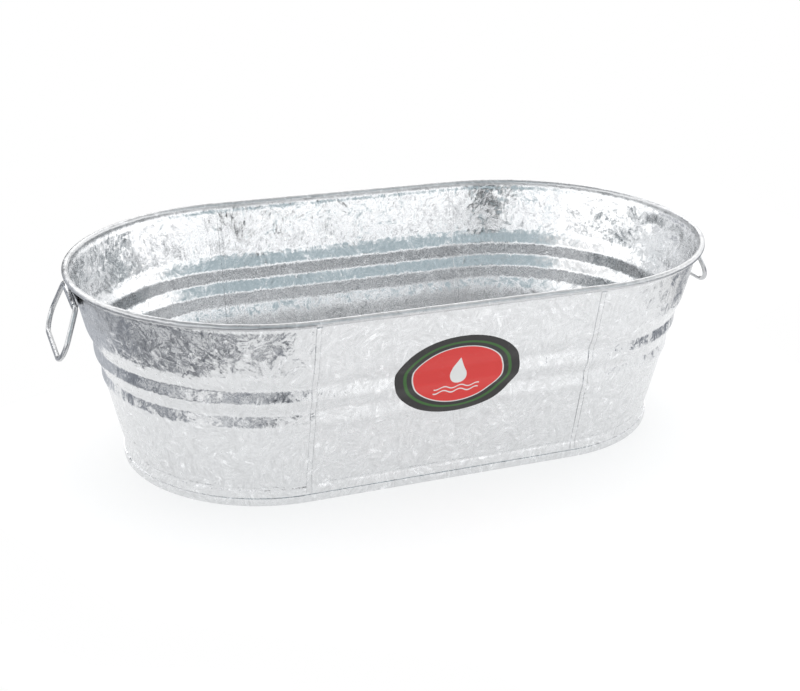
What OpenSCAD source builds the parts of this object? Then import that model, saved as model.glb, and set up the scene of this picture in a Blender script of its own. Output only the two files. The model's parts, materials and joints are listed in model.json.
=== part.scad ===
// Oval sheet-steel water trough. Four swaged wall panels are joined by upright lock seams, their top
// edges are rolled round one rim wire, and a raised bottom is folded round their lower edges. A wire
// drop handle hangs in a curled ear under the rim at each end.
// Millimetres, +Z up. The origin is on the ground under the middle of the tub, and X runs along it.

/* [Tub] */
// Length between the rim bead's centrelines
rim_length = 680; // [640:5:740]
// Width between the rim bead's centrelines
rim_width = 392; // [380:2:410]
// Height of the rim bead's centreline above the ground
rim_height = 204; // [200:1:225]
// Width of the wall at the foot
base_width = 302; // [290:2:320]
// Thickness of the galvanised sheet
sheet_t = 0.8; // [0.6:0.1:1]

/* [Rim] */
// Diameter of the wire inside the rolled rim
rim_wire_d = 4.8; // [4:0.2:6]

/* [Swages] */
// Height at which the highest swage starts to step in
swage_top = 146; // [140:1:148]
// Distance from one swage to the next one down
swage_pitch = 27.5; // [25:0.5:29]
// Height of the sloping step of a swage
swage_step_h = 13; // [10:0.5:15]
// How far the two upper swages step in from the plain wall
swage_depth = 2.4; // [1:0.1:3]
// How far the wall stands out again below a step
swage_crown = 0.8; // [0:0.1:1.5]

/* [Foot] */
// Height of the upright foot below the sloping wall
foot_h = 20; // [18:1:26]
// Height of the folded seam round the foot
hem_h = 8; // [6:0.5:10]
// Height of the underside of the raised bottom
bottom_z = 9; // [6:0.5:10]
// Depth of the groove rolled in above the foot
groove_d = 1; // [0.5:0.1:1.5]

/* [Lock seams] */
// Width of each upright lock seam
seam_w = 6; // [5:0.5:9]
// How far a lock seam stands out from the wall
seam_proud = 1; // [0.8:0.1:1.4]

/* [Label] */
// Width of the oval label
label_w = 131; // [100:1:150]
// Height of the oval label
label_h = 87; // [60:1:92]
// Height of the label's middle above the ground
label_z = 126; // [120:1:130]

/* [Ears] */
// Height of the handle bar's axis below the rim bead's centreline
bar_drop = 17; // [15.5:0.5:19]
// Width of the curl that holds the handle's bar
curl_w = 66; // [56:1:68]
// Width of the ear's plate under the rim
ear_w = 74; // [68:1:76]

/* [Handles] */
// Diameter of the handle's wire
handle_wire_d = 5; // [4:0.2:5.4]
// Half length of the handle's straight top bar
bar_half = 36.5; // [35.5:0.5:40]
// Length of the straight stretch in each arm
arm_l = 25; // [15:1:32]
// Radius of the bends at the ends of the grip
grip_bend_r = 19; // [16:0.5:20]
// Angle by which each handle rests out from the vertical
handle_hang = 22; // [0:1:60]

/* [Hidden] */
$fn = 96;
zinc = "silver";
// Gap left between sheets that are folded or soldered together
lap_gap = 0.1;
end_x = (rim_length - rim_width) / 2;
rim_r = rim_width / 2;
base_r = base_width / 2;
bead_r = rim_wire_d / 2 + lap_gap + sheet_t;
// The wall rises into the inner side of the rim bead
wall_top_r = rim_r - bead_r + sheet_t;
wall_bottom_z = sheet_t + lap_gap;
wall_slope = (wall_top_r - base_r) / (rim_height - foot_h);
draft = atan(wall_slope);
swage_count = 3;
last_swage_depth = 0.6;
hem_r = base_r + lap_gap + sheet_t;
label_t = 0.3;
label_steps = 72;
// Ear and handle
bar_z = rim_height - bar_drop;
bar_r = handle_wire_d / 2;
bar_play = 0.08;
ear_t = 0.9;
pad_out = 1.3;
pad_half_w = 37;
pad_rise = 9;
pad_fall = 11;
curl_inner_r = bar_r + bar_play;
curl_outer_r = curl_inner_r + ear_t;
bar_offset = pad_out + lap_gap + curl_outer_r;
bar_corner_r = 7;
// Sine and cosine of the lean of the handle's arms, an exact 44-117-125 triangle
arm_lean = [0.352, 0.936];
ear_top = 11.5;
ear_shoulder = 6.5;

// Radius of the plain sloping wall's outer face at height z
function draft_r(z) = base_r + wall_slope * (z - foot_h);

function swage_z(i) = swage_top - i * swage_pitch;
function swage_in(i) = i < swage_count - 1 ? swage_depth : last_swage_depth;

// Outer face of the wall as [radius, height], from the foot up to the rim bead
wall_face = concat(
    [[base_r, wall_bottom_z],
     [base_r, foot_h - 4],
     [base_r - groove_d, foot_h - 2],
     [draft_r(foot_h), foot_h]],
    [for (i = [swage_count - 1 : -1 : 0]) each [
        [draft_r(swage_z(i) - swage_step_h) - swage_in(i), swage_z(i) - swage_step_h],
        [draft_r(swage_z(i)) + swage_crown, swage_z(i)]]],
    [[wall_top_r, rim_height]]);

// The band between the wall's face moved out by near and by far, from height low to height high
module skin(near, far, low, high) {
    band = concat([for (p = wall_face) [p[0] + near, p[1]]],
                  [for (i = [len(wall_face) - 1 : -1 : 0]) [wall_face[i][0] + far, wall_face[i][1]]]);
    intersection() {
        polygon(band);
        translate([0, low]) square([rim_r + bead_r, high - low]);
    }
}

module wall_section() {
    skin(-sheet_t, 0, 0, rim_height);
    translate([rim_r, rim_height]) difference() {
        circle(bead_r);
        circle(bead_r - sheet_t);
    }
}

// Extrudes a [radius, height] section along the straight front of the tub, from x = -half to x = half
module along_front(half) {
    rotate([90, 0, -90]) linear_extrude(2 * half, center = true) children();
}

// Sweeps a [radius, height] section round the right end of the tub
module round_right_end() {
    translate([end_x, 0, 0]) rotate([0, 0, -90]) rotate_extrude(angle = 180) children();
}

// Side panel at the front, with the outer fold of a lock seam at each of its ends
module side_panel() {
    seam_low = hem_h + 1;
    seam_high = rim_height - bead_r - 1;
    along_front(end_x) wall_section();
    for (side = [-1, 1]) {
        translate([side * end_x, 0, 0]) along_front(seam_w / 2)
            skin(lap_gap, seam_proud, seam_low, seam_high);
        translate([side * (end_x - seam_w / 4), 0, 0]) along_front(seam_w / 4)
            skin(-sheet_t / 2, seam_proud / 2, seam_low, seam_high);
    }
}

// Frame at the right end whose origin is on the handle bar's axis. Its X points out of the wall and
// its Z runs up the sloping wall.
module at_bar() {
    foot = [end_x + draft_r(bar_z), bar_z];
    translate([foot[0] + bar_offset * cos(draft), 0, foot[1] - bar_offset * sin(draft)])
        children();
}

module at_wall_slope() {
    at_bar() rotate([0, draft, 0]) children();
}

// Block in the wall-slope frame, across the tub by 2 * half, from depth x0 to x1 and from z0 to z1
module slope_block(half, x0, x1, z0, z1) {
    at_wall_slope() translate([x0, -half, z0]) cube([x1 - x0, 2 * half, z1 - z0]);
}

// Half-round end panel, pressed out under the rim into a flat pad that carries the ear
module end_panel() {
    pad_face = -curl_outer_r - lap_gap;
    wall_inside = pad_face - pad_out - 4;
    pocket_half = pad_half_w - sheet_t;
    module pocket() {
        slope_block(pocket_half, wall_inside - 3, pad_face - sheet_t,
                    sheet_t - pad_fall, pad_rise - sheet_t);
    }
    difference() {
        union() {
            round_right_end() wall_section();
            slope_block(pad_half_w, wall_inside, pad_face, -pad_fall, pad_rise);
        }
        pocket();
    }
}

// Flat raised bottom, its edge turned down inside the wall, under it and up outside as a hem
module bottom_pan() {
    skirt_r = base_r - sheet_t - lap_gap;
    module pan_section() {
        polygon([[0, bottom_z], [skirt_r - sheet_t, bottom_z], [skirt_r - sheet_t, 0], [hem_r, 0],
                 [hem_r, hem_h], [hem_r - sheet_t, hem_h], [hem_r - sheet_t, sheet_t],
                 [skirt_r, sheet_t], [skirt_r, bottom_z + sheet_t], [0, bottom_z + sheet_t]]);
    }
    color(zinc) {
        for (turn = [0, 180]) rotate([0, 0, turn]) {
            along_front(end_x) pan_section();
            round_right_end() pan_section();
        }
    }
}

// Closed wire hidden in the rolled rim
module rim_wire() {
    module wire_section() {
        translate([rim_r, rim_height]) circle(rim_wire_d / 2);
    }
    color(zinc) for (turn = [0, 180]) rotate([0, 0, turn]) {
        along_front(end_x) wire_section();
        round_right_end() wire_section();
    }
}

// Plate on the wall's pad, with its lower part curled round the handle's bar
module ear() {
    half = ear_w / 2;
    curl_half = curl_w / 2;
    color(zinc) at_wall_slope() {
        rotate([90, 0, 0]) difference() {
            cylinder(h = curl_w, r = curl_outer_r, center = true);
            cylinder(h = curl_w + 2, r = curl_inner_r, center = true);
        }
        translate([-curl_outer_r, 0, 0]) rotate([90, 0, 90]) linear_extrude(ear_t)
            polygon([[-curl_half, 0], [curl_half, 0], [curl_half, curl_outer_r],
                     [half, ear_shoulder], [half, ear_top], [-half, ear_top],
                     [-half, ear_shoulder], [-curl_half, curl_outer_r]]);
    }
}

// Round wire in the YZ plane that bends about centre, within the sector between two directions
module wire_bend(centre, radius, from, to) {
    reach = 2 * radius;
    translate([0, centre[0], centre[1]]) rotate([90, 0, 90]) intersection() {
        rotate_extrude() translate([radius, 0]) circle(bar_r);
        linear_extrude(2 * handle_wire_d, center = true)
            polygon([[0, 0], reach * from, reach * (from + to), reach * to]);
    }
}

// Straight round wire in the YZ plane from point p, of the given length, in the direction at angle a
module wire_run(p, a, length) {
    translate([0, p[0], p[1]]) rotate([a - 90, 0, 0]) rotate([0, 0, -90])
        linear_extrude(length) circle(bar_r);
}

// Closed loop of wire in the YZ plane, hanging from its straight bar on the Y axis
module handle_loop() {
    up = [0, 1];
    outward = [arm_lean[1], arm_lean[0]];
    corner = [bar_half, -bar_corner_r];
    arm_start = corner + bar_corner_r * outward;
    arm_end = arm_start + arm_l * [arm_lean[0], -arm_lean[1]];
    bend = arm_end - grip_bend_r * outward;
    lean = atan2(arm_lean[0], arm_lean[1]);
    wire_run([-bar_half, 0], 0, 2 * bar_half);
    for (side = [0, 1]) mirror([0, side, 0]) {
        wire_bend(corner, bar_corner_r, outward, up);
        wire_run(arm_start, lean - 90, arm_l);
        wire_bend(bend, grip_bend_r, -up, outward);
    }
    wire_run([-bend[0], bend[1] - grip_bend_r], 0, 2 * bend[0]);
}

// Handle in the right ear
module handle() {
    color(zinc) at_bar() rotate([0, -handle_hang, 0]) handle_loop();
}

module front_side_panel() {
    color(zinc) side_panel();
}

module rear_side_panel() {
    color(zinc) rotate([0, 0, 180]) side_panel();
}

module right_end_panel() {
    color(zinc) end_panel();
}

module left_end_panel() {
    color(zinc) mirror([1, 0, 0]) end_panel();
}

module right_ear() {
    ear();
}

module left_ear() {
    mirror([1, 0, 0]) ear();
}

module right_handle() {
    handle();
}

module left_handle() {
    mirror([1, 0, 0]) handle();
}

// Thin oval sticker that follows the swages of the front side panel
module label() {
    oval = [for (i = [0 : label_steps - 1])
        [label_w / 2 * cos(360 * i / label_steps),
         label_h / 2 * sin(360 * i / label_steps)]];
    color("firebrick") intersection() {
        along_front(label_w) skin(lap_gap / 2, lap_gap / 2 + label_t, 0, rim_height);
        translate([0, 0, label_z]) rotate([90, 0, 0]) linear_extrude(rim_r) polygon(oval);
    }
}

front_side_panel();
rear_side_panel();
left_end_panel();
right_end_panel();
bottom_pan();
rim_wire();
left_ear();
right_ear();
left_handle();
right_handle();
label();
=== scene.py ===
# Oval galvanised water tub: rolled, swaged and lock-seamed sheet, wire drop handles and a sticker.
import json
import math

import bmesh
import bpy
from mathutils import Matrix, Vector, noise


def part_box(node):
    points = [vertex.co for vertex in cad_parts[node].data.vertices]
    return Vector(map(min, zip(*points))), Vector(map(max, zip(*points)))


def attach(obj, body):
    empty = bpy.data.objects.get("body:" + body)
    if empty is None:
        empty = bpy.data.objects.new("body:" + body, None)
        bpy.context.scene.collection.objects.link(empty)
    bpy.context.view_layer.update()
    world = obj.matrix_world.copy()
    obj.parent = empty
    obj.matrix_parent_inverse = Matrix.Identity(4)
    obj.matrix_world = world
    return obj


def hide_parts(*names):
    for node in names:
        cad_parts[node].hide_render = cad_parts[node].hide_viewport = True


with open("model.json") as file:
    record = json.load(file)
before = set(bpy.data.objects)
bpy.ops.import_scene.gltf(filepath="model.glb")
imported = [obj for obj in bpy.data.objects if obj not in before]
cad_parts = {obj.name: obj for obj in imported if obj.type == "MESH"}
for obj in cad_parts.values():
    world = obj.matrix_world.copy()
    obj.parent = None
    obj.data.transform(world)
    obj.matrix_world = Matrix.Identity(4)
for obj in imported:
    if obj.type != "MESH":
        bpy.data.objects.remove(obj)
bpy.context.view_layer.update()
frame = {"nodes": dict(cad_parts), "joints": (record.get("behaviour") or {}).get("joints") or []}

MM = 0.001

# ---------------------------------------------------------------- measures taken from the frame
wire_low, wire_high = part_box("rim_wire")
pan_low, pan_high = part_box("bottom_pan")
label_low, label_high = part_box("label")
JOINTS = {joint["name"]: joint for joint in frame["joints"]}

SHEET = 0.8 * MM                 # thickness of the zinc-coated sheet
LAP = 0.1 * MM                   # gap between folded sheets
WIRE_R = (wire_high[2] - wire_low[2]) / 2
RIM_Z = (wire_high[2] + wire_low[2]) / 2
RIM_R = wire_high[1] - WIRE_R
END_X = wire_high[0] - WIRE_R - RIM_R
HEM_R = pan_high[1]
FOOT_R = HEM_R - SHEET - LAP     # outer face of the wall at the foot
PAN_TOP = pan_high[2]
BEAD_R = WIRE_R + LAP + SHEET
WALL_TOP_R = RIM_R - BEAD_R + SHEET
WALL_LOW = SHEET + LAP

# Foot, swages and lock seams, as the frame's solids have them
FOOT_H = 20 * MM
HEM_H = 8 * MM
GROOVE = 1 * MM
SWAGE_TOP = 146 * MM
SWAGE_PITCH = 27.5 * MM
SWAGE_STEP = 13 * MM
SWAGE_CROWN = 0.8 * MM
SWAGE_DEPTHS = [2.4 * MM, 2.4 * MM, 0.6 * MM]
SEAM_W = 6 * MM
SEAM_W_INSIDE = SEAM_W * 0.8
SEAM_PROUD = 1 * MM
SEAM_PROUD_INSIDE = 0.9 * MM

# Pressed pad under the rim at each end, the ear on it and the handle in the ear
PAD_OUT = 1.3 * MM
PAD_HALF_W = 37 * MM
PAD_LOW = 176 * MM
PAD_HIGH = 195.5 * MM
EAR_T = 0.9 * MM
BAR_R = 2.5 * MM
BAR_PLAY = 0.08 * MM
CURL_HALF_W = 33 * MM
EAR_HALF_W = 37 * MM
EAR_TOP = 11.5 * MM
BAR_HALF = 36.5 * MM
BAR_CORNER_R = 7 * MM
ARM_L = 25 * MM
ARM_LEAN = math.atan2(0.352, 0.936)
GRIP_BEND_R = 19 * MM
HANG = math.radians(22)

WALL_SLOPE = (WALL_TOP_R - FOOT_R) / (RIM_Z - FOOT_H)
DRAFT = math.atan(WALL_SLOPE)


def draft_radius(z):
    """Outer radius of the plain sloping wall at height z."""
    return FOOT_R + WALL_SLOPE * (z - FOOT_H)


def lerp(a, b, t):
    return a + (b - a) * t


def smooth(t):
    t = max(0.0, min(1.0, t))
    return t * t * (3 - 2 * t)


# ---------------------------------------------------------------- wall profile
# Ledge over the foot: share of the groove's depth, and distance below the top of the foot
LEDGE = [(0.55, 4 * MM), (0.95, 2.6 * MM), (1.05, 1.6 * MM)]


def wall_stations():
    """Corners of the wall's outer face as (radius, height), from the foot up to the rim."""
    stations = [(FOOT_R, WALL_LOW), (FOOT_R, HEM_H + 1 * MM)]
    stations += [(FOOT_R - GROOVE * share, FOOT_H - drop) for share, drop in LEDGE]
    stations.append((draft_radius(FOOT_H + 1 * MM), FOOT_H + 1 * MM))
    for i in reversed(range(len(SWAGE_DEPTHS))):
        top = SWAGE_TOP - i * SWAGE_PITCH
        low = top - SWAGE_STEP
        stations.append((draft_radius(low) - SWAGE_DEPTHS[i], low))
        stations.append((draft_radius(top) + SWAGE_CROWN, top))
    stations.append((WALL_TOP_R, RIM_Z))
    return stations


STATIONS = wall_stations()
PROFILE_STEP = 1.0 * MM

# Height over which a corner of the profile is rounded, up and down from it
ROUND_WALL = 1.7 * MM
ROUND_FOOT = 0.7 * MM
ROUND_TOP_STEP = 4.5 * MM
TOP_STEP_REACH = 7 * MM          # the topmost step is the softest, this far up and down
FOOT_REACH = 5 * MM              # the sharp foot ends this far above its top
ROUND_SAMPLES = 7

# Rolled rim
BEAD_RISE = 8 * MM               # the plain wall runs straight into the bead over this height
BEAD_START, BEAD_END, BEAD_STEPS = 180, -152, 26    # degrees round the wire


def station_radius(z):
    for (r0, z0), (r1, z1) in zip(STATIONS, STATIONS[1:]):
        if z <= z1:
            return lerp(r0, r1, max(0.0, (z - z0) / (z1 - z0)))
    return STATIONS[-1][0]


def wall_radius(z):
    """Outer radius at height z, with each corner of the profile rounded by averaging."""
    if abs(z - SWAGE_TOP) < TOP_STEP_REACH:
        span = lerp(ROUND_TOP_STEP, ROUND_WALL, abs(z - SWAGE_TOP) / TOP_STEP_REACH)
    else:
        span = ROUND_WALL if z > FOOT_H + FOOT_REACH else ROUND_FOOT
    total = 0.0
    for k in range(ROUND_SAMPLES):
        total += station_radius(z + span * (2 * k / (ROUND_SAMPLES - 1) - 1))
    return total / ROUND_SAMPLES


def sheet_path():
    """Middle of the sheet from its lower edge up the wall and round the rim wire."""
    points = []
    rows = round((RIM_Z - WALL_LOW) / PROFILE_STEP)
    for i in range(rows):
        z = lerp(WALL_LOW, RIM_Z, i / rows)
        blend = smooth((z - RIM_Z + BEAD_RISE) / BEAD_RISE)
        points.append((lerp(wall_radius(z), WALL_TOP_R, blend) - SHEET / 2, z))
    roll = WIRE_R + LAP + SHEET / 2
    for i in range(BEAD_STEPS + 1):
        angle = math.radians(lerp(BEAD_START, BEAD_END, i / BEAD_STEPS))
        points.append((RIM_R + roll * math.cos(angle), RIM_Z + roll * math.sin(angle)))
    return points


def path_normals(points):
    """Unit normals of a 2D path, on its right-hand side, which faces out of the tub."""
    normals = []
    for i in range(len(points)):
        a = points[max(i - 1, 0)]
        b = points[min(i + 1, len(points) - 1)]
        d = Vector((b[0] - a[0], b[1] - a[1])).normalized()
        normals.append((d.y, -d.x))
    return normals


PATH = sheet_path()
NORMALS = path_normals(PATH)


# ---------------------------------------------------------------- hand-made unevenness
RIPPLE_FADE = 30 * MM            # height over which the waves die out
LONG_RIPPLE, SHORT_RIPPLE = 0.55, 0.16              # millimetres
SEAM_LUMP, BEAD_DENTS = 0.35, 0.12                  # millimetres
LUMP_LENGTH = 3.2 * MM

# The pad's edges: how far each one reaches past its line, and the width it slopes over
PAD_SIDE = (5 * MM, 18 * MM)
PAD_BOTTOM = (7 * MM, 16 * MM)
PAD_TOP = (2 * MM, 15 * MM)


def ripple(x, y, z):
    """Outward bulge of the sheet, in metres: long shallow waves, none at the rim and the foot."""
    fade = smooth((RIM_Z - 4 * MM - z) / RIPPLE_FADE) * smooth((z - FOOT_H) / RIPPLE_FADE)
    long_wave = noise.noise(Vector((x * 11, y * 11, z * 9)))
    short_wave = noise.noise(Vector((x * 34 + 7, y * 34, z * 26)))
    return fade * (LONG_RIPPLE * long_wave + SHORT_RIPPLE * short_wave) * MM


def bead_swell(x, y):
    """Extra radius of the rolled rim: a lump where it crosses each lock seam, and small dents."""
    on_side = abs(y) > RIM_R * 0.7
    lump = math.exp(-((abs(x) - END_X) / LUMP_LENGTH) ** 2) if on_side else 0.0
    dents = 0.5 + 0.5 * noise.noise(Vector((x * 60, y * 60, 3)))
    return (SEAM_LUMP * lump + BEAD_DENTS * dents) * MM


def pad_push(x, y, z):
    """How far an end panel is pressed out towards the flat pad at this point."""
    across = smooth((PAD_HALF_W + PAD_SIDE[0] - abs(y)) / PAD_SIDE[1])
    along = (smooth((z - PAD_LOW + PAD_BOTTOM[0]) / PAD_BOTTOM[1])
             * smooth((PAD_HIGH + PAD_TOP[0] - z) / PAD_TOP[1]))
    plane = END_X + draft_radius(z) + PAD_OUT - SHEET / 2
    return across * along * max(0.0, plane - abs(x))


# ---------------------------------------------------------------- mesh helpers
def finish_mesh(name, bm, body, replaces=(), sharp=35):
    bmesh.ops.recalc_face_normals(bm, faces=bm.faces)
    mesh = bpy.data.meshes.new(name)
    bm.to_mesh(mesh)
    bm.free()
    mesh.shade_smooth()
    mesh.set_sharp_from_angle(angle=math.radians(sharp))
    piece = bpy.data.objects.new(name, mesh)
    bpy.context.collection.objects.link(piece)
    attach(piece, body)
    if replaces:
        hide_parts(*replaces)
    return piece


def skin_rings(bm, rings, closed=False, cap=True):
    """Joins rings of points with quads. closed joins the last ring to the first one."""
    rows = [[bm.verts.new(p) for p in ring] for ring in rings]
    count = len(rows[0])
    pairs = list(zip(rows, rows[1:]))
    if closed:
        pairs.append((rows[-1], rows[0]))
    for a, b in pairs:
        for i in range(count):
            j = (i + 1) % count
            bm.faces.new((a[i], a[j], b[j], b[i]))
    if cap and not closed:
        for row in (rows[0], rows[-1]):
            half = count // 2
            for i in range(half - 1):
                bm.faces.new((row[i], row[i + 1], row[count - 2 - i], row[count - 1 - i]))
    return rows


def sheet_ring(place, push=None):
    """Closed outline of the sheet's section, mapped into the tub by place(radius, z)."""
    outer = []
    inner = []
    for (r, z), (nr, nz) in zip(PATH, NORMALS):
        x, y, _ = place(r, z)
        shift = ripple(x, y, z)
        on_bead = r > WALL_TOP_R or z > RIM_Z
        swell = bead_swell(x, y) if on_bead else 0.0
        centre = Vector(place(r + shift + swell * nr, z + swell * nz))
        out = Vector(place(r + shift + nr * SHEET / 2, z + nz * SHEET / 2)) - Vector(place(r + shift, z))
        if push:
            centre.x += math.copysign(push(centre.x, centre.y, centre.z), centre.x)
        outer.append(centre + out)
        inner.append(centre - out)
    return outer + inner[::-1]


# ---------------------------------------------------------------- lock seams
# Section of a seam's ridge: share of its half width, then share of its height
SEAM_OUTSIDE = [(-1.0, -0.1), (-0.97, 0.75), (-0.86, 1.0), (-0.3, 1.0), (0.42, 0.95), (0.47, 0.55),
                (0.55, 0.52), (0.6, 0.85), (0.88, 0.8), (0.97, 0.55), (1.0, -0.1)]
SEAM_INSIDE = [(-1.0, -0.1), (-0.95, 0.7), (-0.8, 1.0), (0.0, 0.9), (0.8, 1.0), (0.95, 0.7), (1.0, -0.1)]


def seam_strip(bm, x, sign, outside):
    """Folded ridge of a lock seam, up the wall's outer or inner face at x."""
    width = SEAM_W if outside else SEAM_W_INSIDE
    proud = SEAM_PROUD if outside else SEAM_PROUD_INSIDE
    section = SEAM_OUTSIDE if outside else SEAM_INSIDE
    low = HEM_H + 1.5 * MM if outside else PAN_TOP + 1.5 * MM
    high = RIM_Z - 4.6 * MM if outside else RIM_Z - 1.5 * MM
    rings = []
    for (r, z), (nr, nz) in zip(PATH, NORMALS):
        if not low < z < high or r > WALL_TOP_R:
            continue
        side = 1 if outside else -1
        ring = []
        for u, share in section:
            lift = SHEET / 2 + proud * share
            wobble = 0.25 * MM * noise.noise(Vector((x * 9, z * 45, sign)))
            px = x + u * width / 2 + wobble
            shift = ripple(px, sign * r, z)
            ring.append((px, sign * (r + shift + side * nr * lift), z + side * nz * lift))
        buried = SHEET * 0.1
        for u in (0.9, -0.9):
            px = x + u * width / 2
            shift = ripple(px, sign * r, z)
            ring.append((px, sign * (r + shift + side * nr * buried), z + side * nz * buried))
        rings.append(ring)
    rows = skin_rings(bm, rings, cap=False)
    bm.faces.new(rows[0])
    bm.faces.new(rows[-1])


# ---------------------------------------------------------------- wall panels
def side_panel(name, sign, replaces):
    """Straight side panel, with the lock seams that it folds over the end panels."""
    bm = bmesh.new()
    columns = 84
    rings = []
    for i in range(columns + 1):
        x = lerp(-END_X, END_X, i / columns)
        rings.append(sheet_ring(lambda r, z, x=x: (x, sign * r, z)))
    skin_rings(bm, rings)
    for x in (-END_X, END_X):
        seam_strip(bm, x, sign, outside=True)
        seam_strip(bm, x, sign, outside=False)
    return finish_mesh(name, bm, "root", replaces)


def end_panel(name, side, replaces):
    """Half-round end panel, pressed out into a pad under the rim."""
    bm = bmesh.new()
    columns = 200
    rings = []
    for i in range(columns + 1):
        angle = lerp(-math.pi / 2, math.pi / 2, i / columns)
        c, s = math.cos(angle), math.sin(angle)
        rings.append(sheet_ring(lambda r, z, c=c, s=s: (side * (END_X + r * c), r * s, z), pad_push))
    skin_rings(bm, rings)
    return finish_mesh(name, bm, "root", replaces)


# ---------------------------------------------------------------- bottom
def oval_columns(straight, round_):
    """Plan directions round the tub: (x of the sweep centre, cos, sin) for each column."""
    columns = []
    for side in (1, -1):
        for i in range(round_):
            angle = lerp(-math.pi / 2, math.pi / 2, i / round_) + (0 if side > 0 else math.pi)
            columns.append((side * END_X, math.cos(angle), math.sin(angle)))
        for i in range(straight):
            columns.append((side * lerp(END_X, -END_X, i / straight), 0.0, float(side)))
    return columns


SKIRT_LOW = 3.5 * MM             # where the skirt ends and the fold under the wall starts
PAN_CORNER = 2.0 * MM
PAN_SAG = 0.9 * MM
# Outer side of the hem: how far it swells out, and height
HEM_BULGE = [(0.35 * MM, 3.8 * MM), (0.3 * MM, 5.4 * MM), (0.15 * MM, 6.8 * MM), (0.0, HEM_H)]


def pan_path():
    """Middle of the bottom sheet, from near the middle out to its edge, down and round the hem."""
    flat_z = PAN_TOP - SHEET / 2
    skirt = FOOT_R - SHEET - LAP - SHEET / 2
    corner = PAN_CORNER
    points = [(lerp(14 * MM, skirt - corner, i / 14), flat_z) for i in range(14)]
    for i in range(7):
        a = math.radians(90 - 90 * i / 6)
        points.append((skirt - corner + corner * math.cos(a), flat_z - corner + corner * math.sin(a)))
    fold = (HEM_R - SHEET / 2 - skirt) / 2
    points.append((skirt, SKIRT_LOW))
    for i in range(13):
        a = math.radians(180 + 180 * i / 12)
        points.append((skirt + fold + fold * math.cos(a), SHEET / 2 + fold + fold * math.sin(a)))
    points += [(HEM_R + bulge - SHEET / 2, z) for bulge, z in HEM_BULGE]
    return points


def bottom_pan():
    """Raised bottom sheet with its edge folded round the wall's lower edge."""
    bm = bmesh.new()
    path = pan_path()
    normals = path_normals(path)
    rings = []
    for cx, c, s in oval_columns(72, 96):
        upper = []
        lower = []
        for (r, z), (nr, nz) in zip(path, normals):
            x, y = cx + r * c, r * s
            flatness = smooth((FOOT_R - 20 * MM - r) / (40 * MM))
            sag = PAN_SAG * noise.noise(Vector((x * 7, y * 7, 1))) * flatness
            for out, way in ((upper, -1), (lower, 1)):
                rr = r + way * nr * SHEET / 2
                out.append((cx + rr * c, rr * s, z + sag + way * nz * SHEET / 2))
        rings.append(upper + lower[::-1])
    rows = skin_rings(bm, rings, closed=True)
    bm.faces.new([row[0] for row in rows])
    bm.faces.new([row[-1] for row in rows])
    return finish_mesh("bottom_sheet", bm, "root", ["bottom_pan"])


# ---------------------------------------------------------------- ears and handles
EAR_PLATE_STEPS = 10
CURL_STEPS = 28
CURL_END = 478                   # degrees round the bar, from 180 at the plate


def bar_axis(side):
    """Middle of the handle's bar, from its joint."""
    return Vector(JOINTS["right_handle_swing" if side > 0 else "left_handle_swing"]["pos_m"])


def ear(name, side, replaces):
    """Sheet ear: a plate on the pad whose lower part is curled round the handle's bar."""
    bm = bmesh.new()
    bar = bar_axis(side)
    roll = BAR_R + BAR_PLAY + EAR_T / 2
    path = [(-roll, lerp(EAR_TOP, 0, i / EAR_PLATE_STEPS)) for i in range(EAR_PLATE_STEPS)]
    for i in range(CURL_STEPS + 1):
        a = math.radians(lerp(180, CURL_END, i / CURL_STEPS))
        path.append((roll * math.cos(a), roll * math.sin(a)))
    normals = path_normals(path)
    rings = []
    columns = 40
    cos_d, sin_d = math.cos(DRAFT), math.sin(DRAFT)
    for k in range(columns + 1):
        u = 2 * k / columns - 1
        outer = []
        inner = []
        for i, ((px, pz), (nx, nz)) in enumerate(zip(path, normals)):
            shoulder = smooth((pz - 1.5 * MM) / (6 * MM)) if i < EAR_PLATE_STEPS else 0.0
            half = lerp(CURL_HALF_W, EAR_HALF_W, shoulder)
            for out, way in ((outer, -1), (inner, 1)):
                qx = px + way * nx * EAR_T / 2
                qz = pz + way * nz * EAR_T / 2
                out.append((bar.x + side * (qx * cos_d + qz * sin_d), u * half,
                            bar.z + qz * cos_d - qx * sin_d))
        rings.append(outer + inner[::-1])
    skin_rings(bm, rings)
    return finish_mesh(name, bm, "root", replaces)


def loop_points():
    """Middle line of the handle's wire in its own plane as (across, down), all the way round."""
    lean_c, lean_s = math.cos(ARM_LEAN), math.sin(ARM_LEAN)
    corner = (BAR_HALF, BAR_CORNER_R)
    start = (corner[0] + BAR_CORNER_R * lean_c, corner[1] - BAR_CORNER_R * lean_s)
    end = (start[0] + ARM_L * lean_s, start[1] + ARM_L * lean_c)
    bend = (end[0] - GRIP_BEND_R * lean_c, end[1] + GRIP_BEND_R * lean_s)
    half = [(BAR_HALF * i / 12, 0.0) for i in range(12)]
    for i in range(9):
        a = lerp(math.pi / 2, ARM_LEAN, i / 8)
        half.append((corner[0] + BAR_CORNER_R * math.cos(a), corner[1] - BAR_CORNER_R * math.sin(a)))
    half += [(lerp(start[0], end[0], i / 8), lerp(start[1], end[1], i / 8)) for i in range(1, 8)]
    for i in range(19):
        a = lerp(ARM_LEAN, -math.pi / 2, i / 18)
        half.append((bend[0] + GRIP_BEND_R * math.cos(a), bend[1] - GRIP_BEND_R * math.sin(a)))
    half += [(bend[0] * (1 - i / 10), bend[1] + GRIP_BEND_R) for i in range(1, 11)]
    other = [(-y, d) for y, d in half[1:-1]]
    return half + other[::-1]


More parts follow.
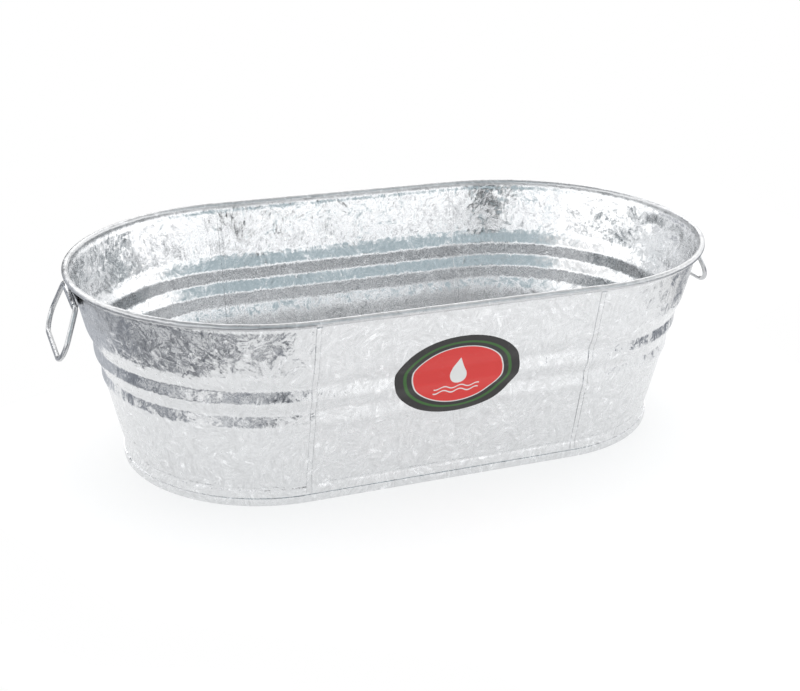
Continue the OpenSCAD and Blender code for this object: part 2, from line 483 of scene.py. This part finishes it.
def handle(name, side, body, replaces):
    """Drop handle bent from round wire, resting swung out from the vertical."""
    bm = bmesh.new()
    bar = bar_axis(side)
    points = loop_points()
    count = len(points)
    around = 20
    rings = []
    for i, (y, down) in enumerate(points):
        before, after = points[i - 1], points[(i + 1) % count]
        along = Vector((after[0] - before[0], after[1] - before[1])).normalized()
        ring = []
        for k in range(around):
            a = 2 * math.pi * k / around
            off = BAR_R * math.cos(a)
            lift = BAR_R * math.sin(a)
            yy = y - along.y * off
            dd = down + along.x * off
            out = dd * math.sin(HANG) + lift * math.cos(HANG)
            drop = dd * math.cos(HANG) - lift * math.sin(HANG)
            ring.append((bar.x + side * out, yy, bar.z - drop))
        rings.append(ring)
    skin_rings(bm, rings, closed=True)
    return finish_mesh(name, bm, body, replaces, sharp=60)


# ---------------------------------------------------------------- label
LABEL_MID_Z = (label_low[2] + label_high[2]) / 2
LABEL_HALF_W = (label_high[0] - label_low[0]) / 2
LABEL_HALF_H = (label_high[2] - label_low[2]) / 2
FILM = 0.25 * MM
FILM_BACK = -0.02 * MM


def label():
    """Thin oval sticker that follows the swages of the front wall."""
    bm = bmesh.new()
    around, rows = 120, 46
    turns = [2 * math.pi * k / around for k in range(around)]

    def point(scale, a, height):
        x = LABEL_HALF_W * scale * math.cos(a)
        z = LABEL_MID_Z + LABEL_HALF_H * scale * math.sin(a)
        r = wall_radius(z) + ripple(x, -wall_radius(z), z)
        return (x, -(r + height), z)

    rings = []
    for row in range(1, rows + 1):
        rings.append([point(row / rows * 0.995, a, FILM) for a in turns])
    rings.append([point(1.0, a, FILM * 0.6) for a in turns])
    rings.append([point(1.0, a, FILM_BACK) for a in turns])
    for row in range(rows, 0, -6):
        rings.append([point(row / rows * 0.99, a, FILM_BACK) for a in turns])
    rows_made = skin_rings(bm, rings, cap=False)
    bm.faces.new(rows_made[0])
    bm.faces.new(rows_made[-1])
    return finish_mesh("oval_label", bm, "root", ["label"], sharp=50)


# ---------------------------------------------------------------- node helpers
class Nodes:
    """Short ways to add and join shader nodes."""

    def __init__(self, tree):
        self.tree = tree
        tree.nodes.clear()

    def add(self, kind, **values):
        node = self.tree.nodes.new(kind)
        for key, value in values.items():
            setattr(node, key, value)
        return node

    def link(self, a, b):
        self.tree.links.new(a, b)

    def put(self, socket, value):
        if isinstance(value, bpy.types.NodeSocket):
            self.link(value, socket)
        else:
            socket.default_value = value

    def math(self, operation, a, b=0.0):
        node = self.add("ShaderNodeMath", operation=operation)
        for socket, value in zip(node.inputs, (a, b)):
            self.put(socket, value)
        return node.outputs[0]

    def vector(self, operation, a, b=(0, 0, 0)):
        node = self.add("ShaderNodeVectorMath", operation=operation)
        self.put(node.inputs[0], a)
        if operation == "SCALE":
            self.put(node.inputs["Scale"], b)
        else:
            self.put(node.inputs[1], b)
        return node.outputs[0]

    def remap(self, value, low, high, to_low, to_high):
        node = self.add("ShaderNodeMapRange")
        for socket, item in zip(node.inputs, (value, low, high, to_low, to_high)):
            self.put(socket, item)
        return node.outputs[0]

    def noise(self, vector, scale, detail=3.0, rough=0.5):
        node = self.add("ShaderNodeTexNoise")
        self.put(node.inputs["Vector"], vector)
        node.inputs["Scale"].default_value = scale
        node.inputs["Detail"].default_value = detail
        node.inputs["Roughness"].default_value = rough
        return node

    def mix(self, factor, a, b):
        node = self.add("ShaderNodeMix", data_type="RGBA")
        self.put(node.inputs["Factor"], factor)
        self.put(node.inputs["A"], a)
        self.put(node.inputs["B"], b)
        return next(output for output in node.outputs if output.type == "RGBA")

    def finish(self, shader):
        """Joins the shader to a new material output."""
        self.link(shader.outputs[0], self.add("ShaderNodeOutputMaterial").inputs[0])

    def ramp(self, value, stops):
        node = self.add("ShaderNodeValToRGB")
        ramp = node.color_ramp
        while len(ramp.elements) < len(stops):
            ramp.elements.new(0.5)
        for element, (place, color) in zip(ramp.elements, stops):
            element.position = place
            element.color = color
        self.put(node.inputs[0], value)
        return node.outputs[0]


def grey(value, blue=0.0):
    """Grey of the given brightness, bluer as blue goes up."""
    return (value * (1 - 0.5 * blue), value, value * (1 + blue), 1.0)


def cool(value):
    """Blue-grey of the given brightness."""
    return (value * 0.84, value, value * 1.07, 1.0)


def new_material(name):
    material = bpy.data.materials.new(name)
    material.use_nodes = True
    return material, Nodes(material.node_tree)


# ---------------------------------------------------------------- zinc
def centred(n, color, amount):
    """Color socket turned into a vector that leans any way, up to half of amount."""
    return n.vector("SCALE", n.vector("SUBTRACT", color, (0.5, 0.5, 0.5)), amount)


def feathers(n, place, crystal, needle, seed):
    """Streaks of zinc needles that run one way inside each crystal. Returns noise and crystal color."""
    moved = n.vector("ADD", place, (seed, seed * 0.7, seed * 1.3))
    warp = centred(n, n.noise(moved, 170, 3, 0.65).outputs["Color"], crystal * 1.1)
    cells = n.add("ShaderNodeTexVoronoi")
    n.put(cells.inputs["Vector"], n.vector("ADD", moved, warp))
    cells.inputs["Scale"].default_value = 1 / crystal
    split = n.add("ShaderNodeSeparateColor")
    n.put(split.inputs[0], cells.outputs["Color"])
    turned = n.add("ShaderNodeVectorRotate", rotation_type="AXIS_ANGLE")
    n.put(turned.inputs["Vector"], moved)
    n.put(turned.inputs["Axis"], centred(n, cells.outputs["Color"], 1.0))
    n.put(turned.inputs["Angle"], n.math("MULTIPLY", split.outputs[0], 12.6))
    stretched = n.vector("MULTIPLY", turned.outputs[0], (1.0, 0.2, 0.2))
    return n.noise(stretched, 1 / needle, 2.0, 0.65), cells


# How strongly whole crystals, their broad streaks and their fine needles lean
CELL_LEAN, STREAK_LEAN, NEEDLE_LEAN = 0.35, 1.8, 1.0
ZINC_TINT = (0.98, 0.988, 1.0)

# Heights over which the sheet turns into the rolled rim, which gets painted shade and is rougher
RIM_SHADE_AND_DULL = (RIM_Z - 4 * MM, RIM_Z - 1.5 * MM)
RIM_PAINTED_SHADE, RIM_ROUGHER = 0.18, 0.14

# Painted shade on a band low down inside the tub: heights over which it starts and ends
PAINTED_SHADE_START = (0.036, 0.05)
PAINTED_SHADE_END = (0.07, 0.084)
PAINTED_SHADE_DARKER = 0.3


def zinc(name, crystal=14 * MM, needle=3 * MM, lean=0.22, low_rough=0.12, high_rough=0.28,
         tone=0.76, rolled_sheet=False):
    """Hot-dip zinc: feathery crystals that each lean and shine a little differently."""
    material, n = new_material(name)
    place = n.add("ShaderNodeTexCoord").outputs["Object"]
    normal = n.add("ShaderNodeNewGeometry").outputs["Normal"]
    coarse, cells = feathers(n, place, crystal, needle, 0.0)
    fine, small_cells = feathers(n, place, crystal * 0.45, needle * 0.55, 3.7)
    leaning = normal
    for pattern, share in ((cells, CELL_LEAN), (small_cells, CELL_LEAN), (coarse, STREAK_LEAN),
                           (fine, NEEDLE_LEAN)):
        leaning = n.vector("ADD", leaning, centred(n, pattern.outputs["Color"], lean * share))
    leaning = n.vector("NORMALIZE", leaning)
    bump = n.add("ShaderNodeBump")
    bump.inputs["Strength"].default_value = 0.3
    bump.inputs["Distance"].default_value = 0.0008
    n.put(bump.inputs["Height"], n.noise(place, 90, 5, 0.6).outputs["Fac"])
    n.put(bump.inputs["Normal"], leaning)
    # Rough bloom in patches, brighter and rougher needles
    patch = n.noise(place, 12, 5, 0.6).outputs["Fac"]
    bloom = n.remap(patch, 0.35, 0.7, 0.0, 1.0)
    needles = n.math("ADD", n.math("MULTIPLY", coarse.outputs["Fac"], 0.6),
                     n.math("MULTIPLY", fine.outputs["Fac"], 0.4))
    rough = n.math("ADD", n.remap(needles, 0.35, 0.65, low_rough, high_rough),
                   n.math("MULTIPLY", bloom, 0.07))
    shade = n.remap(needles, 0.32, 0.68, tone * 0.86, tone * 1.12)
    # A few crystals shine almost white
    sparse = n.remap(n.noise(place, 130, 2, 0.5).outputs["Fac"], 0.56, 0.66, 0.0, 1.0)
    fleck = n.math("MULTIPLY", sparse, n.remap(coarse.outputs["Fac"], 0.52, 0.62, 0.0, 0.16))
    shade = n.math("ADD", shade, fleck)
    if rolled_sheet:
        split = n.add("ShaderNodeSeparateXYZ")
        n.put(split.inputs[0], place)
        z = split.outputs[2]
        # Negative where the face looks into the tub
        outwards = n.add("ShaderNodeVectorMath", operation="DOT_PRODUCT")
        n.put(outwards.inputs[0], normal)
        n.put(outwards.inputs[1], n.vector("MULTIPLY", place, (1.0, 1.0, 0.0)))
        inside = n.math("LESS_THAN", outwards.outputs["Value"], 0.0)
        # Painted shade: the inner face of the wall is darkened on a band low down
        low_inner_shade = n.math("MULTIPLY", inside, n.remap(z, *PAINTED_SHADE_END, 1.0, 0.0))
        low_inner_shade = n.math("MULTIPLY", low_inner_shade, n.remap(z, *PAINTED_SHADE_START, 0.0, 1.0))
        # Painted shade darkens the rolled rim, which is also made rougher
        rolled = n.remap(z, *RIM_SHADE_AND_DULL, 0.0, 1.0)
        for mask, loss in ((low_inner_shade, PAINTED_SHADE_DARKER), (rolled, RIM_PAINTED_SHADE)):
            shade = n.math("MULTIPLY", shade, n.math("SUBTRACT", 1.0, n.math("MULTIPLY", mask, loss)))
        rough = n.math("ADD", rough, n.math("MULTIPLY", rolled, RIM_ROUGHER))
    tinted = n.add("ShaderNodeCombineColor")
    for socket, gain in zip(tinted.inputs[:3], ZINC_TINT):
        n.put(socket, n.math("MULTIPLY", shade, gain))
    shader = n.add("ShaderNodeBsdfPrincipled")
    shader.inputs["Metallic"].default_value = 1.0
    n.put(shader.inputs["Base Color"], tinted.outputs[0])
    n.put(shader.inputs["Roughness"], rough)
    n.put(shader.inputs["Normal"], bump.outputs[0])
    n.finish(shader)
    return material


# ---------------------------------------------------------------- label print
# Drop and waves, as shares of half the label's height, or of half its width for WAVE_HALF_W
DROP_MID, DROP_R, DROP_TIP = -0.03, 0.2, 0.47
WAVE_LEVELS = (-0.34, -0.46)
WAVE_TURNS, WAVE_SWING = 24, 0.035
WAVE_HALF_T, WAVE_HALF_W = 0.016, 0.36


def label_print():
    """Dark oval with a green ring round a red field with a white water drop and waves."""
    material, n = new_material("label_print")
    place = n.add("ShaderNodeTexCoord").outputs["Object"]
    split = n.add("ShaderNodeSeparateXYZ")
    n.put(split.inputs[0], place)
    across = n.math("DIVIDE", split.outputs[0], LABEL_HALF_W)
    up = n.math("DIVIDE", n.math("SUBTRACT", split.outputs[2], LABEL_MID_Z), LABEL_HALF_H)
    squares = n.math("ADD", n.math("MULTIPLY", across, across), n.math("MULTIPLY", up, up))
    oval = n.math("SQRT", squares)

    def inside(value, edge, soft=0.006):
        return n.remap(value, edge - soft, edge + soft, 1.0, 0.0)

    # Each band of the oval starts at its edge, a share of the oval's size, and covers all inside it
    charcoal = (0.022, 0.02, 0.02, 1)
    green = (0.035, 0.13, 0.022, 1)
    white = (0.8, 0.8, 0.78, 1)
    red = (0.72, 0.035, 0.03, 1)
    color = charcoal
    for edge, band in ((0.865, green), (0.815, charcoal), (0.735, white), (0.715, red)):
        color = n.mix(inside(oval, edge), color, band)
    # Water drop: a disc with a pointed top
    dx = n.math("MULTIPLY", across, LABEL_HALF_W / LABEL_HALF_H)
    dy = n.math("SUBTRACT", up, DROP_MID)
    disc = n.math("SQRT", n.math("ADD", n.math("MULTIPLY", dx, dx), n.math("MULTIPLY", dy, dy)))
    point = n.math("ADD", n.math("MULTIPLY", n.math("ABSOLUTE", dx), 2.1), n.math("MULTIPLY", dy, 1.0))
    above = n.remap(dy, 0.055, 0.065, 0.0, 1.0)
    drop = n.math("MAXIMUM", inside(disc, DROP_R), n.math("MULTIPLY", inside(point, DROP_TIP), above))
    color = n.mix(drop, color, white)
    # Two waves beside and under the drop
    swing = n.math("MULTIPLY", n.math("SINE", n.math("MULTIPLY", across, WAVE_TURNS)), WAVE_SWING)
    for level in WAVE_LEVELS:
        off = n.math("ABSOLUTE", n.math("SUBTRACT", up, n.math("ADD", swing, level)))
        within = n.math("MULTIPLY", inside(off, WAVE_HALF_T), inside(n.math("ABSOLUTE", across), WAVE_HALF_W))
        color = n.mix(within, color, white)
    grain = n.noise(place, 900, 2).outputs["Fac"]
    scuff = n.noise(place, 70, 5, 0.7).outputs["Fac"]
    color = n.mix(n.remap(scuff, 0.6, 0.85, 0.0, 0.12), color, (0.5, 0.5, 0.5, 1))
    bump = n.add("ShaderNodeBump")
    bump.inputs["Strength"].default_value = 0.15
    bump.inputs["Distance"].default_value = 0.0003
    n.put(bump.inputs["Height"], grain)
    shader = n.add("ShaderNodeBsdfPrincipled")
    n.put(shader.inputs["Base Color"], color)
    n.put(shader.inputs["Roughness"], n.remap(scuff, 0.2, 0.8, 0.3, 0.5))
    n.put(shader.inputs["Normal"], bump.outputs[0])
    n.finish(shader)
    return material


# ---------------------------------------------------------------- studio
# Table top: its edge, cut back at the corners
TABLE_EDGE = [(-0.1, 0.3), (-0.455, 0.15), (-0.455, -0.05), (-0.34, -0.29), (-0.21, -0.375),
              (-0.1, -0.44), (-0.06, -0.52), (-0.05, -1.0), (0.51, -1.0), (0.515, -0.1),
              (0.53, 0.02), (0.55, 0.12), (0.9, 0.3), (0.9, 0.8), (0.3, 0.8)]
# Loose white strip on the ground past the table's left corner: its two long sides
STRIP_NEAR = [(-0.54, -0.02), (-0.535, -0.08), (-0.485, -0.21), (-0.385, -0.345), (-0.24, -0.405)]
STRIP_FAR = [(-0.59, -0.02), (-0.585, -0.09), (-0.53, -0.235), (-0.425, -0.385), (-0.25, -0.45)]
# How brightly both shine near the tub and further off in front, and between which Y it changes
TABLE_GLOW, TABLE_GLOW_FAR = 0.66, 1.0
GLOW_FAR_Y, GLOW_NEAR_Y = -0.53, -0.43

# What the metal sees in front, at the sides and behind, as (height, color): height is 0 straight
# down, 0.5 at the horizon and 1 straight up
BELOW = [(0.0, grey(0.2, 0.12)), (0.19, grey(0.2, 0.12)), (0.27, grey(0.26, 0.14)),
         (0.49, grey(0.26, 0.14))]
FRONT = [*BELOW, (0.515, grey(1.7)), (0.61, grey(1.7)), (0.655, cool(0.62)), (1.0, cool(0.6))]
SIDES = [*BELOW, (0.52, grey(1.75)), (0.69, grey(1.75)), (0.73, grey(1.05)), (0.82, grey(1.05)),
         (0.87, cool(0.5)), (1.0, cool(0.5))]
OVERHEAD = [(0.69, grey(2.6)), (0.81, grey(2.6)), (0.835, grey(1.1)), (1.0, grey(0.9))]
BEHIND = [(0.0, grey(0.7, 0.05)), (0.5, grey(0.5, 0.1)), (0.66, grey(0.35, 0.1)), *OVERHEAD]
BEHIND_RIGHT = [(0.0, grey(0.9)), (0.66, grey(0.9)), *OVERHEAD]
CEILING = [(0.35, grey(0.42, 0.05)), (0.65, grey(0.85))]    # from left, 0, to right, 1
# Share of the way north over which front turns into side and side into behind, and of the way
# east over which what is behind turns into what is behind on the right
FRONT_ENDS = (-0.75, -0.45)
BEHIND_STARTS = (0.5, 0.75)
RIGHT_STARTS = (0.0, 0.3)
CEILING_STARTS = (0.84, 0.9)

# Low white card and dark stand: middle, half width, and where its soft edge ends
CARD_SIDE = (-0.86, 0.06, 0.1)
CARD_UP = (-0.34, 0.14, 0.2)
CARD_COLOR = grey(1.3)
STAND_SIDE = (-0.08, 0.15, 0.25)
STAND_HEIGHT = (0.5, 0.15, 0.18)
STAND_DIM = 0.05
# White sheet on the ground at the right: where it starts sideways, and the height it ends over.
# It stays so low that only the wall above the steps sees it.
SHEET_SIDE = (0.7, 0.9)
SHEET_HEIGHT = (0.265, 0.288)
SHEET_COLOR = grey(0.95)

LAMP_Z, LAMP_SIZE, LAMP_POWER = 1.8, 1.6, 14


def soft_box(name, place, target, size, power):
    """Area light at place, facing target."""
    light = bpy.data.lights.new(name, "AREA")
    light.shape = "RECTANGLE"
    light.size, light.size_y = size
    light.energy = power
    lamp = bpy.data.objects.new(name, light)
    lamp.location = place
    lamp.rotation_euler = (Vector(target) - Vector(place)).to_track_quat("-Z", "Y").to_euler()
    lamp.visible_camera = False
    bpy.context.collection.objects.link(lamp)
    return lamp


def studio_world():
    """White to the camera. The metal sees bright walls round it, and a dark floor past the table."""
    world = bpy.data.worlds.new("studio")
    world.use_nodes = True
    n = Nodes(world.node_tree)
    direction = n.add("ShaderNodeTexCoord").outputs["Generated"]
    split = n.add("ShaderNodeSeparateXYZ")
    n.put(split.inputs[0], direction)
    east, north, up = split.outputs
    flat = n.math("SQRT", n.math("ADD", n.math("MULTIPLY", east, east),
                                 n.math("MULTIPLY", north, north)))
    facing = n.math("DIVIDE", north, n.math("MAXIMUM", flat, 0.001))
    sideways = n.math("DIVIDE", east, n.math("MAXIMUM", flat, 0.001))
    height = n.remap(up, -1.0, 1.0, 0.0, 1.0)
    front, sides, behind, behind_right = (n.ramp(height, stops)
                                          for stops in (FRONT, SIDES, BEHIND, BEHIND_RIGHT))
    behind = n.mix(n.remap(sideways, *RIGHT_STARTS, 0.0, 1.0), behind, behind_right)
    room = n.mix(n.remap(facing, *FRONT_ENDS, 0.0, 1.0), front, sides)
    room = n.mix(n.remap(facing, *BEHIND_STARTS, 0.0, 1.0), room, behind)
    # The ceiling is lighter on the right
    ceiling = n.ramp(n.remap(east, -1.0, 1.0, 0.0, 1.0), CEILING)
    room = n.mix(n.remap(height, *CEILING_STARTS, 0.0, 1.0), room, ceiling)

    def patch(value, middle, half, edge, low=1.0, high=0.0):
        """low within half of the middle, high beyond edge from it."""
        return n.remap(n.math("ABSOLUTE", n.math("SUBTRACT", value, middle)), half, edge, low, high)

    # A low white card at the left, lower than the table top
    card = n.math("MULTIPLY", patch(sideways, *CARD_SIDE), patch(up, *CARD_UP))
    card = n.math("MULTIPLY", card, n.math("LESS_THAN", facing, 0.0))
    room = n.mix(card, room, CARD_COLOR)
    sheet = n.math("MULTIPLY", n.remap(sideways, *SHEET_SIDE, 0.0, 1.0),
                   n.remap(height, *SHEET_HEIGHT, 1.0, 0.0))
    room = n.mix(sheet, room, SHEET_COLOR)
    # A dark stand near the horizon, straight in front and straight behind
    stand = n.math("MAXIMUM", patch(sideways, *STAND_SIDE, STAND_DIM, 1.0),
                   patch(height, *STAND_HEIGHT, 0.0, 1.0))
    room = n.vector("SCALE", room, stand)
    seen = n.add("ShaderNodeBackground")
    seen.inputs["Color"].default_value = (1, 1, 1, 1)
    seen.inputs["Strength"].default_value = 1.0
    lit = n.add("ShaderNodeBackground")
    n.put(lit.inputs["Color"], room)
    lit.inputs["Strength"].default_value = 1.0
    rays = n.add("ShaderNodeLightPath")
    pick = n.add("ShaderNodeMixShader")
    n.put(pick.inputs[0], rays.outputs["Is Camera Ray"])
    n.link(lit.outputs[0], pick.inputs[1])
    n.link(seen.outputs[0], pick.inputs[2])
    out = n.add("ShaderNodeOutputWorld")
    n.link(pick.outputs[0], out.inputs[0])
    bpy.context.scene.world = world


def floor_paint():
    """White paint that glows, more so a little way in front of the tub."""
    material, n = new_material("floor_white")
    place = n.add("ShaderNodeTexCoord").outputs["Object"]
    shader = n.add("ShaderNodeBsdfPrincipled")
    n.put(shader.inputs["Base Color"], n.mix(n.noise(place, 4).outputs["Fac"], grey(0.34), grey(0.36)))
    shader.inputs["Roughness"].default_value = 0.9
    shader.inputs["Emission Color"].default_value = (1, 1, 1, 1)
    split = n.add("ShaderNodeSeparateXYZ")
    n.put(split.inputs[0], place)
    glow = n.remap(split.outputs[1], GLOW_FAR_Y, GLOW_NEAR_Y, TABLE_GLOW_FAR, TABLE_GLOW)
    n.put(shader.inputs["Emission Strength"], glow)
    n.finish(shader)
    return material


def floor():
    """White table top, cut back at its corners, and the loose strip beside it."""
    mesh = bpy.data.meshes.new("floor")
    bm = bmesh.new()
    for edge in (TABLE_EDGE, STRIP_NEAR + STRIP_FAR[::-1]):
        bm.faces.new([bm.verts.new((x, y, 0.0)) for x, y in edge])
    bm.normal_update()
    bmesh.ops.reverse_faces(bm, faces=[face for face in bm.faces if face.normal.z < 0])
    bm.to_mesh(mesh)
    bm.free()
    plane = bpy.data.objects.new("floor", mesh)
    bpy.context.collection.objects.link(plane)
    plane.data.materials.append(floor_paint())


CAMERA_AZIMUTH, CAMERA_ELEVATION, CAMERA_ROLL = -21.12, 22.41, 0.72     # degrees
CAMERA_DISTANCE, CAMERA_SLIDE, CAMERA_LIFT = 1.4587, 0.0076, 0.0804
SENSOR_W, LENS = 36, 58.93                                              # millimetres


def camera():
    """Camera that looks at a point near the origin, rolled about its own axis."""
    azimuth, elevation, roll = map(math.radians, (CAMERA_AZIMUTH, CAMERA_ELEVATION, CAMERA_ROLL))
    back = Vector((math.sin(azimuth) * math.cos(elevation), -math.cos(azimuth) * math.cos(elevation),
                   math.sin(elevation)))
    right = Vector((0, 0, 1)).cross(back).normalized()
    up = back.cross(right)
    right, up = (right * math.cos(roll) + up * math.sin(roll),
                 up * math.cos(roll) - right * math.sin(roll))
    eye = back * CAMERA_DISTANCE + right * CAMERA_SLIDE + up * CAMERA_LIFT
    data = bpy.data.cameras.new("camera")
    data.sensor_width = SENSOR_W
    data.lens = LENS
    view = bpy.data.objects.new("camera", data)
    view.matrix_world = Matrix((
        (right.x, up.x, back.x, eye.x), (right.y, up.y, back.y, eye.y), (right.z, up.z, back.z, eye.z),
        (0, 0, 0, 1)))
    bpy.context.collection.objects.link(view)
    bpy.context.scene.camera = view


# ---------------------------------------------------------------- assembly
camera()
sheet_zinc = zinc("zinc_spangle", rolled_sheet=True)
wire_zinc = zinc("zinc_wire", crystal=4 * MM, needle=1 * MM, lean=0.12, low_rough=0.2, high_rough=0.36,
                 tone=0.6)
panels = [
    side_panel("front_side_sheet", -1, ["front_side_panel"]),
    side_panel("rear_side_sheet", 1, ["rear_side_panel"]),
    end_panel("right_end_sheet", 1, ["right_end_panel"]),
    end_panel("left_end_sheet", -1, ["left_end_panel"]),
    bottom_pan(),
    ear("right_ear_sheet", 1, ["right_ear"]),
    ear("left_ear_sheet", -1, ["left_ear"]),
]
for panel in panels:
    panel.data.materials.append(sheet_zinc)
wires = [
    handle("right_handle_wire", 1, "right_handle", ["right_handle"]),
    handle("left_handle_wire", -1, "left_handle", ["left_handle"]),
]
for wire in wires:
    wire.data.materials.append(wire_zinc)
rim_wire = frame["nodes"]["rim_wire"]
rim_wire.data.materials.clear()
rim_wire.data.materials.append(wire_zinc)
label().data.materials.append(label_print())

floor()
studio_world()
top_box = soft_box("top_box", (0.0, 0.0, LAMP_Z), (0, 0, 0), (LAMP_SIZE, LAMP_SIZE), LAMP_POWER)
top_box.visible_glossy = False
bpy.context.scene.view_settings.view_transform = "Standard"
